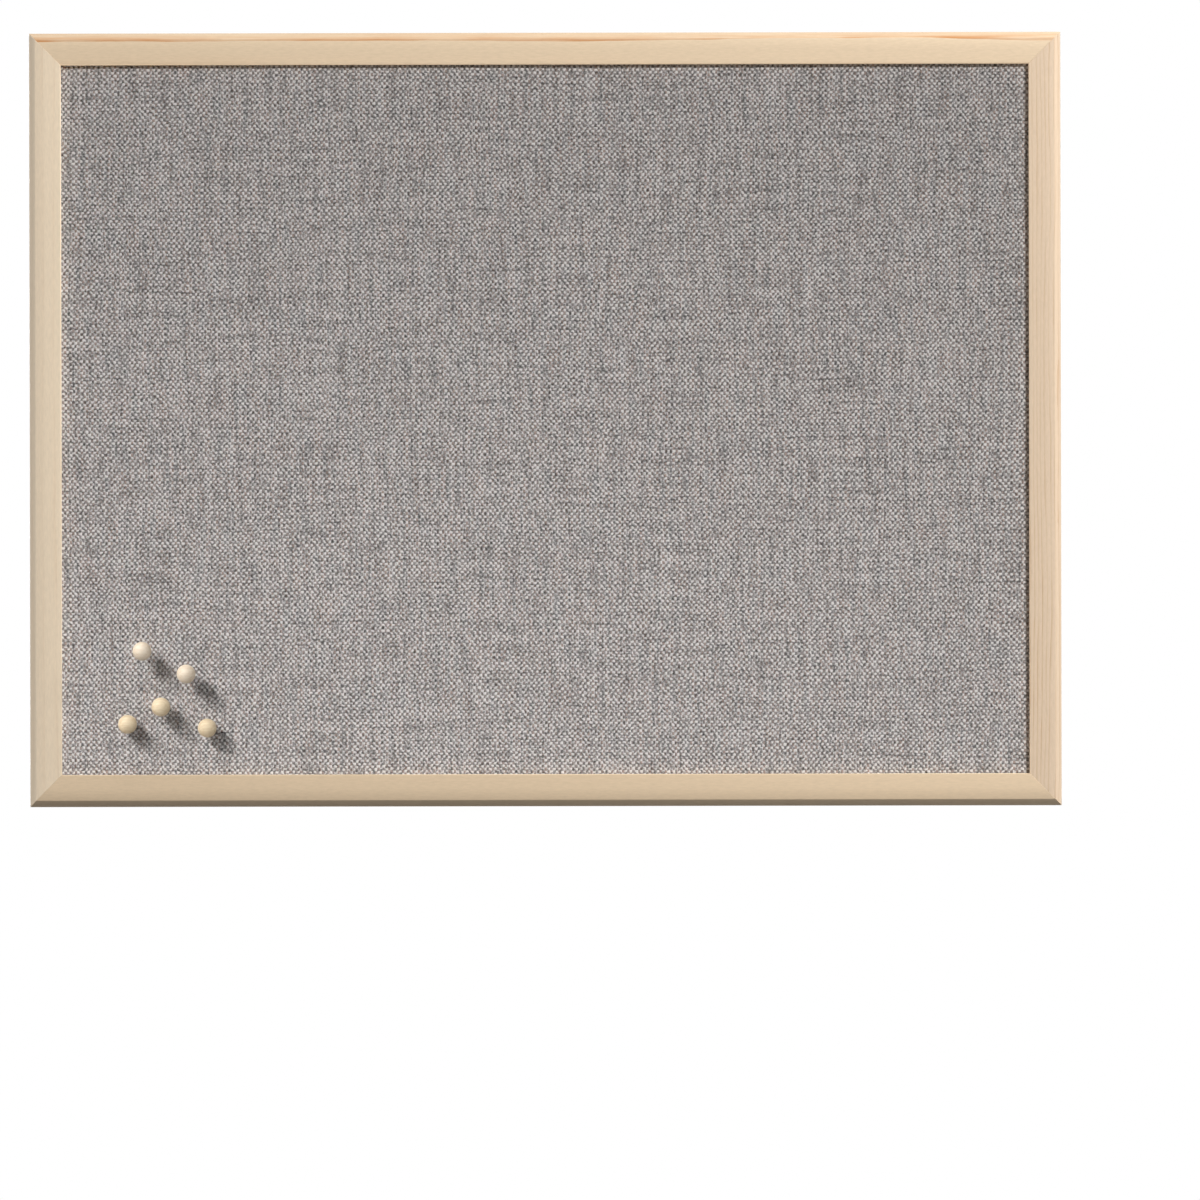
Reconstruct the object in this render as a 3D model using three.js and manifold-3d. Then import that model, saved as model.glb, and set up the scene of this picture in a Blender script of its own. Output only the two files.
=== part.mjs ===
// A framed fabric notice board with five ball-headed push pins, hung on a wall.
// Lengths are millimetres. +X is to the right, +Z is up, and the board faces -Y.
// The origin is on the wall, behind the middle of the board.

import * as THREE from "three";
import { mergeVertices } from "three/addons/utils/BufferGeometryUtils.js";
import Module from "manifold-3d";

// Board outline
const boardWidth = 600;
const boardHeight = 450;

// Clearances
const seatGap = 0.2; // between pieces that lie on or beside each other
const mitreGap = 0.2; // glue line at a corner, measured along the rail
const driveGap = 0.25; // round steel driven into wood or board
const cutOverrun = 2; // how far a cutter runs past the face that it opens

// Frame moulding
const webWidth = 10.5; // solid wood outside the rebate
const lipOverhang = 8.2; // how far the front lip reaches in over the panel
const lipThickness = 4;
const outerBevelWidth = 3.8;
const outerBevelDepth = 5;
const innerRound = 0.4; // eased edge beside the cloth
const roundSegments = 4;

// Panel, from the front to the back
const coverThickness = 0.8;
const coreThickness = 9;
const backingThickness = 3;
const panelPlay = 0.5; // between the panel's edge and the rebate wall
const backingPlay = 1;
const hemWidth = 22; // cloth turned over on to the core's back
const backRecess = 0.9; // from the framer's points to the frame's back face

// Framer's points
const pointThickness = 0.5;
const pointLength = 15;
const pointWidth = 6;
const pointDrive = 6.5; // length driven into the wood
const pointTaper = 2.5; // length of the sharpened end
const railPointShares = [-0.36, 0, 0.36]; // places along a rail
const stilePointShares = [-0.3, 0.14]; // places up a stile

// V-nails across each mitre
const nailThickness = 0.5;
const nailLeg = 4;
const nailHeight = 7;
const nailInsets = [3.2, 7.2]; // from the corner's two outer faces
const nailSink = 0.3; // below the frame's back face

// Hangers
const hangerHeightShare = 0.28; // of the board's height, from its middle up to the eye
const strapThickness = 0.6;
const strapWidth = 7.5;
const strapEnd = 4; // from the lower screw to the strap's end
const ringWire = 1.8;
const ringPlay = 0.2; // between the ring's bar and the strap's eye
const ringSidePlay = 0.3; // between the strap's side and the ring
const ringBend = 1.2; // centre-line radius at the ring's lower corners
const ringHeadPlay = 0.85; // folded down, the ring clears the upper screw's head by this
const ringEdgeMargin = 0.35; // from the ring's side to the frame's outer face
const eyeSegments = 16;
const eyeCloseAngle = 250; // degrees of fold round the eye before the strap runs back
const eyeRunShare = 1.2; // length of that run back, as a share of the eye's outer radius
const ringSteps = 44;
const wireSides = 8;
const wallPlay = 0.2; // from the strap's eye to the wall

// Screws
const screwShank = 2.5;
const screwLength = 10; // below the strap
const screwTip = 2.5;
const screwHead = 5;
const screwHeadHeight = 1.4;
const screwMargin = 0.5; // between a head and what it stands beside
const screwSides = 14;

// Rubber bumpers
const bumperDiameter = 9;
const bumperFace = 7.4; // flat part that meets the wall
const bumperShoulder = 0.9; // height of the rounded shoulder
const bumperRise = 24; // from the frame's lower edge to a bumper's middle
const bumperSides = 20;

// Push pins
const ballDiameter = 11;
const needleDiameter = 1.1;
const needleReach = 9.5; // from the ball to the point
const needleRoot = 5; // length held in the ball
const needlePoint = 2.5; // length of the ground point
const pinLeastStandoff = 0.3; // from the cloth to the ball, pushed right in
const pinEndPlay = 0.5; // from the point, pushed right in, to the hole's end
const ballSides = 20;
const ballRings = 12;
const needleSides = 10;
// Places across and up the board, from its middle, as shares of its width and height, and how far
// the ball stands off the cloth, as a share of the needle's reach
const pinPlaceShares = [
  [-0.39, -0.2984, 0.62],
  [-0.3475, -0.3279, 0.58],
  [-0.3722, -0.3704, 0.34],
  [-0.4047, -0.3928, 0.1],
  [-0.3276, -0.3978, 0.12],
];

// Sizes that follow from the ones above
const halfWidth = boardWidth / 2;
const halfHeight = boardHeight / 2;
const faceWidth = webWidth + lipOverhang;
const wrapDepth = coverThickness + seatGap + coreThickness + seatGap + coverThickness;
const panelDepth = seatGap + wrapDepth + seatGap + backingThickness + seatGap + pointThickness;
const frameDepth = lipThickness + panelDepth + backRecess;
const wireRadius = ringWire / 2;
const eyeRadius = wireRadius + ringPlay;
const eyeOuterRadius = eyeRadius + strapThickness;
const eyeY = eyeOuterRadius; // from the strap's front face to the middle of its eye
const eyeRun = eyeOuterRadius + eyeRunShare * eyeOuterRadius;
const strapDoubled = strapThickness + strapThickness;
const wallStandoff = seatGap + eyeOuterRadius + eyeOuterRadius + wallPlay;

// Depths, from the wall forwards
const frameBackY = -wallStandoff;
const frameFrontY = frameBackY - frameDepth;
const coverFrontY = frameFrontY + lipThickness + seatGap;
const coreFrontY = coverFrontY + coverThickness + seatGap;
const backingFrontY = coverFrontY + wrapDepth + seatGap;
const pointFrontY = backingFrontY + backingThickness + seatGap;

// Panel outline inside the rebate
const rebateWidth = boardWidth - webWidth - webWidth;
const rebateHeight = boardHeight - webWidth - webWidth;
const coverWidth = rebateWidth - panelPlay - panelPlay;
const coverHeight = rebateHeight - panelPlay - panelPlay;
const coreInset = coverThickness + seatGap;

// The D-ring's centre line and the screws, from the middle of the ring's bar
const ringHalfWidth = strapWidth / 2 + ringSidePlay + wireRadius;
const hangerInset = ringHalfWidth + wireRadius + ringEdgeMargin;
const headRadius = screwHead / 2;
const upperScrewDrop = eyeRun + screwMargin + headRadius;
const ringReach = upperScrewDrop + headRadius + ringHeadPlay + wireRadius;
const ringShoulder = ringReach - ringHalfWidth;
const lowerScrewDrop = ringReach + wireRadius + screwMargin + headRadius;
const strapDrop = lowerScrewDrop + strapEnd;

const colours = {
  pine: 0xddc6a4,
  cloth: 0x9b9793,
  softboard: 0xb59a72,
  hardboard: 0x7a5738,
  zinc: 0xb9bcc0,
  nickel: 0xc9c7c2,
  blackSteel: 0x3b3d40,
  rubber: 0x2b2b2b,
  ball: 0xe9d6b4,
  needle: 0xcfd2d6,
};

const wasm = await Module();
wasm.setup();

// Solids

function toSolid(geometry) {
  const bare = geometry.clone();
  bare.deleteAttribute("normal");
  bare.deleteAttribute("uv");
  const merged = mergeVertices(bare);
  return new wasm.Manifold(
    new wasm.Mesh({
      numProp: 3,
      vertProperties: new Float32Array(merged.attributes.position.array),
      triVerts: new Uint32Array(merged.index.array),
    }),
  );
}

function cut(geometry, cutters) {
  let solid = toSolid(geometry);
  for (const cutter of cutters) {
    solid = solid.subtract(toSolid(cutter));
  }
  const mesh = solid.getMesh();
  const result = new THREE.BufferGeometry();
  result.setAttribute("position", new THREE.BufferAttribute(mesh.vertProperties, 3));
  result.setIndex(new THREE.BufferAttribute(mesh.triVerts, 1));
  result.computeVertexNormals();
  return result;
}

function piece(name, geometry, colour, roughness, metalness = 0) {
  const material = new THREE.MeshStandardMaterial({ color: colour, roughness, metalness });
  const mesh = new THREE.Mesh(geometry, material);
  mesh.name = name;
  return mesh;
}

// A flat plate: its outline is drawn as seen from the front, and it runs back from y = 0.
function plate(outline, thickness) {
  const shape = outline instanceof THREE.Shape ? outline : new THREE.Shape(outline);
  const geometry = new THREE.ExtrudeGeometry(shape, { depth: thickness, bevelEnabled: false });
  return geometry.rotateX(Math.PI / 2).translate(0, thickness, 0);
}

// A block centred on x and z that runs back from y = 0.
function block(width, height, depth) {
  return new THREE.BoxGeometry(width, depth, height).translate(0, depth / 2, 0);
}

// A round bar along y, from y = 0 back.
function roundBar(radius, length, sides) {
  return new THREE.CylinderGeometry(radius, radius, length, sides).translate(0, length / 2, 0);
}

// A turned piece about the y axis, from [radius, y] points that run from front to back.
function turned(points, sides) {
  const profile = points.map(([radius, y]) => new THREE.Vector2(radius, y));
  return new THREE.LatheGeometry(profile, sides);
}

// Frame

// The moulding's section: u runs in from the outer face, and v runs back from the front face.
function mouldingSection() {
  const section = new THREE.Shape();
  section.moveTo(0, outerBevelDepth);
  section.lineTo(outerBevelWidth, 0);
  section.lineTo(faceWidth - innerRound, 0);
  section.absarc(faceWidth - innerRound, innerRound, innerRound, -Math.PI / 2, 0);
  section.lineTo(faceWidth, lipThickness);
  section.lineTo(webWidth, lipThickness);
  section.lineTo(webWidth, frameDepth);
  section.lineTo(0, frameDepth);
  return section;
}

// A length of moulding along x with its ends cut at 45 degrees. Its outer front edge is on the x axis.
function mitredBar(length) {
  const options = { depth: 1, bevelEnabled: false, curveSegments: roundSegments };
  const geometry = new THREE.ExtrudeGeometry(mouldingSection(), options);
  const places = geometry.attributes.position;
  for (let i = 0; i < places.count; i++) {
    const inwards = places.getX(i);
    const end = places.getZ(i) > 0 ? 1 : -1;
    const along = end * (length / 2 - inwards - mitreGap / 2);
    places.setXYZ(i, along, places.getY(i), -inwards);
  }
  return geometry;
}

// A V-nail's outline, with its legs towards -x and -z. Grown, it is the slot that the nail sits in.
function nailOutline(grow) {
  const half = nailThickness / 2 + grow;
  const reach = nailLeg + grow;
  return [
    new THREE.Vector2(half, half),
    new THREE.Vector2(-reach, half),
    new THREE.Vector2(-reach, -half),
    new THREE.Vector2(-half, -half),
    new THREE.Vector2(-half, -reach),
    new THREE.Vector2(half, -reach),
  ];
}

function mirrored(outline, acrossX, acrossZ) {
  return outline.map((point) => new THREE.Vector2(point.x * acrossX, point.y * acrossZ));
}

// Slots for the V-nails at both ends of a length of moulding
function nailSlots(length) {
  const slotDepth = nailSink + nailHeight + driveGap;
  const slots = [];
  for (const end of [-1, 1]) {
    for (const inset of nailInsets) {
      const slot = plate(mirrored(nailOutline(driveGap), end, 1), slotDepth + cutOverrun);
      slots.push(slot.translate(end * (length / 2 - inset), frameDepth - slotDepth, -inset));
    }
  }
  return slots;
}

// Slots for the framer's points in the rebate wall
function pointSlots(length, shares) {
  const width = pointWidth + driveGap + driveGap;
  const thickness = pointThickness + driveGap + driveGap;
  const depth = pointDrive + driveGap;
  const front = pointFrontY - frameFrontY - driveGap;
  const middle = -webWidth + (depth - cutOverrun) / 2;
  return shares.map((share) =>
    block(width, depth + cutOverrun, thickness).translate(share * length, front, middle),
  );
}

// Pilot holes for a hanger's screws. direction says which way along the stile is up.
function pilotHoles(direction) {
  const depth = screwLength + driveGap;
  const bar = roundBar(screwShank / 2 + driveGap, depth + cutOverrun, screwSides);
  return [upperScrewDrop, lowerScrewDrop].map((drop) => {
    const along = direction * (boardHeight * hangerHeightShare - drop);
    return bar.clone().translate(along, frameDepth - depth, -hangerInset);
  });
}

function framerPoint() {
  const half = pointWidth / 2;
  const outside = pointLength - pointDrive;
  const outline = [
    new THREE.Vector2(-half, -outside),
    new THREE.Vector2(half, -outside),
    new THREE.Vector2(half, pointDrive - pointTaper),
    new THREE.Vector2(0, pointDrive),
    new THREE.Vector2(-half, pointDrive - pointTaper),
  ];
  return plate(outline, pointThickness);
}

// One side of the frame with the points that it holds. Its group turns it to its side of the board.
function frameSide({ name, side, length, turn, reach, shares, holes }) {
  const group = new THREE.Group();
  const cutters = [...nailSlots(length), ...pointSlots(length, shares), ...holes];
  group.add(piece(name, cut(mitredBar(length), cutters), colours.pine, 0.6));
  shares.forEach((share, index) => {
    const point = piece(`framer_point_${side}_${index + 1}`, framerPoint(), colours.blackSteel, 0.5, 1);
    point.position.set(share * length, pointFrontY - frameFrontY, -webWidth);
    group.add(point);
  });
  group.rotation.y = turn;
  group.position.set(reach * Math.sin(turn), frameFrontY, reach * Math.cos(turn));
  return group;
}

function frame() {
  const rail = { length: boardWidth, reach: halfHeight, shares: railPointShares, holes: [] };
  const stile = { length: boardHeight, reach: halfWidth };
  const upsideDown = stilePointShares.map((share) => -share);
  return [
    frameSide({ ...rail, name: "top_rail", side: "top", turn: 0 }),
    frameSide({ ...rail, name: "bottom_rail", side: "bottom", turn: Math.PI }),
    frameSide({
      ...stile,
      name: "left_stile",
      side: "left",
      turn: -Math.PI / 2,
      shares: stilePointShares,
      holes: pilotHoles(1),
    }),
    frameSide({
      ...stile,
      name: "right_stile",
      side: "right",
      turn: Math.PI / 2,
      shares: upsideDown,
      holes: pilotHoles(-1),
    }),
  ];
}

// The V-nails, two at each corner, driven from behind across the mitre
function cornerNails() {
  const nails = [];
  for (const [corner, acrossX, acrossZ] of [
    ["top_left", -1, 1],
    ["top_right", 1, 1],
    ["bottom_left", -1, -1],
    ["bottom_right", 1, -1],
  ]) {
    nailInsets.forEach((inset, index) => {
      const shape = plate(mirrored(nailOutline(0), acrossX, acrossZ), nailHeight);
      const nail = piece(`corner_nail_${corner}_${index + 1}`, shape, colours.blackSteel, 0.5, 1);
      const y = frameBackY - nailSink - nailHeight;
      nail.position.set(acrossX * (halfWidth - inset), y, acrossZ * (halfHeight - inset));
      nails.push(nail);
    });
  }
  return nails;
}

// Panel

// One hole for each pin, from y = 0 back, at its place on the board
function pinHoles(depth) {
  const bar = roundBar(needleDiameter / 2 + driveGap, depth, needleSides);
  return pinPlaceShares.map(([across, up]) =>
    bar.clone().translate(across * boardWidth, 0, up * boardHeight),
  );
}

// The cloth: a skin round the core, open at the back inside its hem
function fabricCover() {
  const cavity = block(
    coverWidth - coverThickness - coverThickness,
    coverHeight - coverThickness - coverThickness,
    wrapDepth - coverThickness - coverThickness,
  ).translate(0, coverThickness, 0);
  const hemmed = block(
    coverWidth - hemWidth - hemWidth,
    coverHeight - hemWidth - hemWidth,
    wrapDepth,
  ).translate(0, wrapDepth / 2, 0);
  const holes = pinHoles(coverThickness + cutOverrun + cutOverrun);
  const through = holes.map((hole) => hole.translate(0, -cutOverrun, 0));
  const shape = cut(block(coverWidth, coverHeight, wrapDepth), [cavity, hemmed, ...through]);
  const cover = piece("fabric_cover", shape, colours.cloth, 0.95);
  cover.position.y = coverFrontY;
  return cover;
}

function pinningCore() {
  const width = coverWidth - coreInset - coreInset;
  const height = coverHeight - coreInset - coreInset;
  const deepest = needleReach - pinLeastStandoff + pinEndPlay - coreInset;
  const holes = pinHoles(deepest + cutOverrun).map((hole) => hole.translate(0, -cutOverrun, 0));
  const shape = cut(block(width, height, coreThickness), holes);
  const core = piece("pinning_core", shape, colours.softboard, 0.95);
  core.position.y = coreFrontY;
  return core;
}

function backingBoard() {
  const width = rebateWidth - backingPlay - backingPlay;
  const height = rebateHeight - backingPlay - backingPlay;
  const sheet = block(width, height, backingThickness);
  const backing = piece("backing_board", sheet, colours.hardboard, 0.8);
  backing.position.y = backingFrontY;
  return backing;
}

// Hangers

// The strap's section: one strip folded round the ring's bar, seen from the side.
// y runs back from the frame, and z runs up from the middle of the eye.
function strapSection() {
  const section = new THREE.Shape();
  const foldEnd = Math.PI - THREE.MathUtils.degToRad(eyeCloseAngle);
  section.moveTo(0, -strapDrop);
  section.lineTo(0, 0);
  section.absarc(eyeY, 0, eyeOuterRadius, Math.PI, foldEnd, true);
  section.lineTo(strapDoubled, -eyeRun);
  section.lineTo(strapDoubled, -strapDrop);
  const eye = new THREE.Path();
  eye.absarc(eyeY, 0, eyeRadius, 0, Math.PI + Math.PI);
  section.holes.push(eye);
  return section;
}

function hangerStrap(name) {
  const options = { depth: strapWidth, bevelEnabled: false, curveSegments: eyeSegments };
  const geometry = new THREE.ExtrudeGeometry(strapSection(), options);
  const turnToSide = new THREE.Matrix4().makeBasis(
    new THREE.Vector3(0, 1, 0),
    new THREE.Vector3(0, 0, 1),
    new THREE.Vector3(1, 0, 0),
  );
  geometry.applyMatrix4(turnToSide).translate(-strapWidth / 2, 0, 0);
  const depth = strapDoubled + cutOverrun + cutOverrun;
  const bar = roundBar(screwShank / 2 + driveGap, depth, screwSides);
  const holes = [upperScrewDrop, lowerScrewDrop].map((drop) =>
    bar.clone().translate(0, -cutOverrun, -drop),
  );
  return piece(name, cut(geometry, holes), colours.zinc, 0.35, 1);
}

// The D-ring's centre line, in x and z
function ringPath() {
  const path = new THREE.Path();
  const bend = ringHalfWidth - ringBend;
  path.moveTo(-bend, 0);
  path.lineTo(bend, 0);
  path.absarc(bend, ringBend, ringBend, -Math.PI / 2, 0);
  path.lineTo(ringHalfWidth, ringShoulder);
  path.absarc(0, ringShoulder, ringHalfWidth, 0, Math.PI);
  path.lineTo(-ringHalfWidth, ringBend);
  path.absarc(-bend, ringBend, ringBend, Math.PI, Math.PI * 1.5);
  return path.getSpacedPoints(ringSteps).slice(0, ringSteps);
}

// A wire of round section bent along a closed flat path in the x-z plane
function closedWire(path, radius, sides) {
  const points = [];
  path.forEach((here, i) => {
    const before = path[(i + path.length - 1) % path.length];
    const after = path[(i + 1) % path.length];
    const along = new THREE.Vector2().subVectors(after, before).normalize();
    for (let side = 0; side < sides; side++) {
      const angle = (side / sides) * Math.PI * 2;
      const out = radius * Math.cos(angle);
      points.push(here.x + out * along.y, radius * Math.sin(angle), here.y - out * along.x);
    }
  });
  const faces = [];
  for (let i = 0; i < path.length; i++) {
    const next = (i + 1) % path.length;
    for (let side = 0; side < sides; side++) {
      const turn = (side + 1) % sides;
      const corners = [i * sides + side, next * sides + side, next * sides + turn, i * sides + turn];
      faces.push(corners[0], corners[2], corners[1], corners[0], corners[3], corners[2]);
    }
  }
  const geometry = new THREE.BufferGeometry();
  geometry.setAttribute("position", new THREE.Float32BufferAttribute(points, 3));
  geometry.setIndex(faces);
  geometry.computeVertexNormals();
  return geometry;
}

// A pan-head screw along y: its head is behind y = 0, and its point is in front.
function screw() {
  const shank = screwShank / 2;
  const length = screwLength + strapDoubled;
  const rim = screwHeadHeight / 2;
  return turned(
    [
      [0, -length],
      [shank, -length + screwTip],
      [shank, 0],
      [headRadius, 0],
      [headRadius, rim],
      [headRadius - rim, screwHeadHeight],
      [0, screwHeadHeight],
    ],
    screwSides,
  );
}

function hanger(side, acrossX) {
  const group = new THREE.Group();
  const strap = hangerStrap(`hanger_strap_${side}`);
  strap.position.y = seatGap;
  const wire = closedWire(ringPath(), wireRadius, wireSides);
  const ring = piece(`hanger_ring_${side}`, wire, colours.nickel, 0.25, 1);
  ring.position.y = seatGap + eyeY;
  group.add(strap, ring);
  [upperScrewDrop, lowerScrewDrop].forEach((drop, index) => {
    const place = index === 0 ? "upper" : "lower";
    const fixing = piece(`hanger_screw_${side}_${place}`, screw(), colours.zinc, 0.3, 1);
    fixing.position.set(0, seatGap + strapDoubled + seatGap, -drop);
    group.add(fixing);
  });
  group.position.set(acrossX * (halfWidth - hangerInset), frameBackY, boardHeight * hangerHeightShare);
  return group;
}

// Bumpers

function bumper(side, acrossX) {
  const height = wallStandoff - seatGap;
  const shape = turned(
    [
      [0, 0],
      [bumperDiameter / 2, 0],
      [bumperDiameter / 2, height - bumperShoulder],
      [bumperFace / 2, height],
      [0, height],
    ],
    bumperSides,
  );
  const pad = piece(`bumper_${side}`, shape, colours.rubber, 0.7);
  pad.position.set(acrossX * (halfWidth - webWidth / 2), frameBackY + seatGap, bumperRise - halfHeight);
  return pad;
}

// Push pins

// A ball with a blind hole for the needle on its back. Its middle is at the origin.
function pinBall() {
  const radius = ballDiameter / 2;
  const hole = needleDiameter / 2 + driveGap;
  const rim = Math.asin(hole / radius);
  const points = [];
  for (let i = 0; i <= ballRings; i++) {
    const angle = Math.PI - (i / ballRings) * (Math.PI - rim);
    points.push([i === 0 ? 0 : radius * Math.sin(angle), radius * Math.cos(angle)]);
  }
  const holeEnd = radius - needleRoot - driveGap;
  return turned([...points, [hole, holeEnd], [0, holeEnd]], ballSides);
}

// A needle along y with its point at the back. The ball's back pole is at y = 0.
function pinNeedle() {
  const radius = needleDiameter / 2;
  return turned(
    [
      [0, -needleRoot],
      [radius, -needleRoot],
      [radius, needleReach - needlePoint],
      [0, needleReach],
    ],
    needleSides,
  );
}

function pushPin(number, [across, up, out]) {
  const group = new THREE.Group();
  const ball = piece(`pin_ball_${number}`, pinBall(), colours.ball, 0.5);
  const needle = piece(`pin_needle_${number}`, pinNeedle(), colours.needle, 0.2, 1);
  needle.position.y = ballDiameter / 2;
  group.add(ball, needle);
  const y = coverFrontY - out * needleReach - ballDiameter / 2;
  group.position.set(across * boardWidth, y, up * boardHeight);
  return group;
}

const board = new THREE.Group();
board.add(...frame(), ...cornerNails());
board.add(fabricCover(), pinningCore(), backingBoard());
board.add(hanger("left", -1), hanger("right", 1));
board.add(bumper("left", -1), bumper("right", 1));
pinPlaceShares.forEach((place, index) => board.add(pushPin(index + 1, place)));

export default board;
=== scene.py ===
# %% [markdown]
# # A fabric notice board
# This script gives a imported CAD model of a framed notice board its looks. The real object is a
# softboard panel wrapped in woven cloth, held in a mitred pine frame, with a hardboard back, two
# D-ring hangers, two rubber bumpers and a few push pins with wooden balls. Each step says what
# the real piece is and how it is made, and then models it the same way.

# %% [markdown]
# ## Load the frame
# The CAD model fixes every size. It is loaded first, and nothing in it is moved.

# %% Load the CAD model
import math

import bmesh
import bpy
from mathutils import Matrix, Vector


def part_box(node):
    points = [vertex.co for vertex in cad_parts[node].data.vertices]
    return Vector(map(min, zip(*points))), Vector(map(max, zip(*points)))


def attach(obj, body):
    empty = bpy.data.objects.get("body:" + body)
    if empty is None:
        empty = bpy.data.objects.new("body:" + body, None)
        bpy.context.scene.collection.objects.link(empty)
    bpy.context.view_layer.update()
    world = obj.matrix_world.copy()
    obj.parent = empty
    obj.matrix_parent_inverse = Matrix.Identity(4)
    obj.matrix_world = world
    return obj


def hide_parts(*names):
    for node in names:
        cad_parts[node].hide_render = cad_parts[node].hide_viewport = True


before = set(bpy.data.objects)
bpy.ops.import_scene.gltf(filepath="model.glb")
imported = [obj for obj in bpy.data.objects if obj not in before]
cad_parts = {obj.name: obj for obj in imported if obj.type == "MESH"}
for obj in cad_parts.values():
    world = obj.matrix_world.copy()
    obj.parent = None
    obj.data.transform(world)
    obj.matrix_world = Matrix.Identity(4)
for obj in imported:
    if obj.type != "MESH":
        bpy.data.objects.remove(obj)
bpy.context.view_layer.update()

# %% [markdown]
# ## Hands
# Modelling by hand has a rhythm: take up one piece, pick some of its faces or edges, and use a
# tool on them. The functions below do the taking up and the picking. A pick is a question asked
# of each face, edge or corner, such as "does it face the front?", so it doesn't depend on any
# numbering. Lengths are written in millimetres and multiplied by MM, because Blender's unit here
# is the metre. Points that are closer than a small distance count as one.

# %% Take up a piece
MM = 0.001
same_place = 0.001 * MM


def leave_all():
    """Leaves edit mode and deselects everything."""
    if bpy.context.object and bpy.context.object.mode != "OBJECT":
        bpy.ops.object.mode_set(mode="OBJECT")
    bpy.ops.object.select_all(action="DESELECT")


def take(piece):
    """Makes one piece the only one in hand."""
    leave_all()
    piece.select_set(True)
    bpy.context.view_layer.objects.active = piece


def start(name, primitive, scale=(1, 1, 1), **settings):
    """Adds a primitive, puts its place and size into its mesh, and opens it in edit mode.

    Its object then sits at the origin. The scale is along the primitive's own axes.
    """
    leave_all()
    primitive(**settings)
    piece = bpy.context.object
    piece.scale = scale
    piece.name = name
    piece.data.name = name
    bpy.ops.object.transform_apply(location=True, rotation=True, scale=True)
    bpy.ops.object.mode_set(mode="EDIT")
    return piece


def block(name, low, high):
    """Starts with a block between two corners."""
    low, high = Vector(low), Vector(high)
    cube = bpy.ops.mesh.primitive_cube_add
    return start(name, cube, scale=high - low, size=1, location=(low + high) / 2)


ALONG_Y = (math.pi / 2, 0, 0)


def rod(name, radius, sides, centre, front, back):
    """Starts with a round bar along y. The centre gives its x and z."""
    return start(
        name,
        bpy.ops.mesh.primitive_cylinder_add,
        vertices=sides,
        radius=radius,
        depth=back - front,
        location=(centre.x, (front + back) / 2, centre.z),
        rotation=ALONG_Y,
    )


# %% Pick parts of a piece
def middle(part):
    """The middle of a face or an edge, or the place of a corner."""
    if isinstance(part, bmesh.types.BMFace):
        return part.calc_center_median()
    if isinstance(part, bmesh.types.BMEdge):
        return (part.verts[0].co + part.verts[1].co) / 2
    return part.co


def direction(edge):
    return (edge.verts[1].co - edge.verts[0].co).normalized()


def pick(kind, question):
    """Selects only the faces, edges or corners that the question is true of."""
    bpy.ops.mesh.select_mode(type=kind)
    bpy.ops.mesh.select_all(action="DESELECT")
    mesh = bmesh.from_edit_mesh(bpy.context.object.data)
    mesh.normal_update()
    parts = {"FACE": mesh.faces, "EDGE": mesh.edges, "VERT": mesh.verts}[kind]
    found = [part for part in parts if question(part)]
    for part in found:
        part.select_set(True)
    bmesh.update_edit_mesh(bpy.context.object.data)
    return len(found)


slack = 0.1 * MM


def near(a, b, within=0.02 * MM):
    return abs(a - b) < within


# %% Tools that are used again and again
def push(x=0.0, y=0.0, z=0.0):
    """Extrudes what is selected by a distance."""
    bpy.ops.mesh.extrude_region_move(TRANSFORM_OT_translate={"value": (x, y, z)})


def squeeze(centre, x=1.0, y=1.0, z=1.0):
    """Resizes what is selected about a point."""
    bpy.ops.transform.resize(value=(x, y, z), center_override=centre)


def saw(point, out, keep_both=False):
    """Cuts the whole piece along a plane. What lies on the out side goes, unless both are kept."""
    bpy.ops.mesh.select_all(action="SELECT")
    bpy.ops.mesh.bisect(
        plane_co=point,
        plane_no=Vector(out).normalized(),
        threshold=same_place,
        clear_outer=not keep_both,
        use_fill=not keep_both,
    )


def round_edges(radius, segments, question):
    """Bevels the edges that the question is true of."""
    if pick("EDGE", question):
        bpy.ops.mesh.bevel(offset=radius, segments=segments, profile=0.5, affect="EDGES")


def sharp(edge, degrees=25):
    return len(edge.link_faces) == 2 and edge.calc_face_angle(0) > math.radians(degrees)


def sharp_at(y):
    """Asks whether an edge is sharp and lies at a depth."""
    return lambda e: near(middle(e).y, y) and sharp(e)


def face_outwards():
    bpy.ops.mesh.select_all(action="SELECT")
    bpy.ops.mesh.normals_make_consistent(inside=False)


def use(piece, kind, **settings):
    """Adds a modifier to a piece and applies it."""
    take(piece)
    bpy.ops.object.modifier_add(type=kind)
    tool = piece.modifiers[-1]
    for key, value in settings.items():
        setattr(tool, key, value)
    bpy.ops.object.modifier_apply(modifier=tool.name)


def cut_out(piece, cutter):
    """Takes the cutter's shape out of a piece. The cutter stays, for the next piece."""
    use(piece, "BOOLEAN", operation="DIFFERENCE", solver="EXACT", object=cutter)


def join(pieces):
    take(pieces[0])
    for piece in pieces[1:]:
        piece.select_set(True)
    bpy.ops.object.join()
    return pieces[0]


def scrap(piece):
    leave_all()
    bpy.data.objects.remove(piece)


def cut_holes(piece, cutters):
    cutter = join(cutters)
    cut_out(piece, cutter)
    scrap(cutter)


def copy(piece, name, move):
    """Copies a piece with its own mesh, and moves the copy by a matrix."""
    take(piece)
    bpy.ops.object.duplicate(linked=False)
    made = bpy.context.object
    made.name = name
    made.data.name = name
    made.data.transform(move)
    if move.determinant() < 0:
        made.data.flip_normals()
    return made


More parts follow.
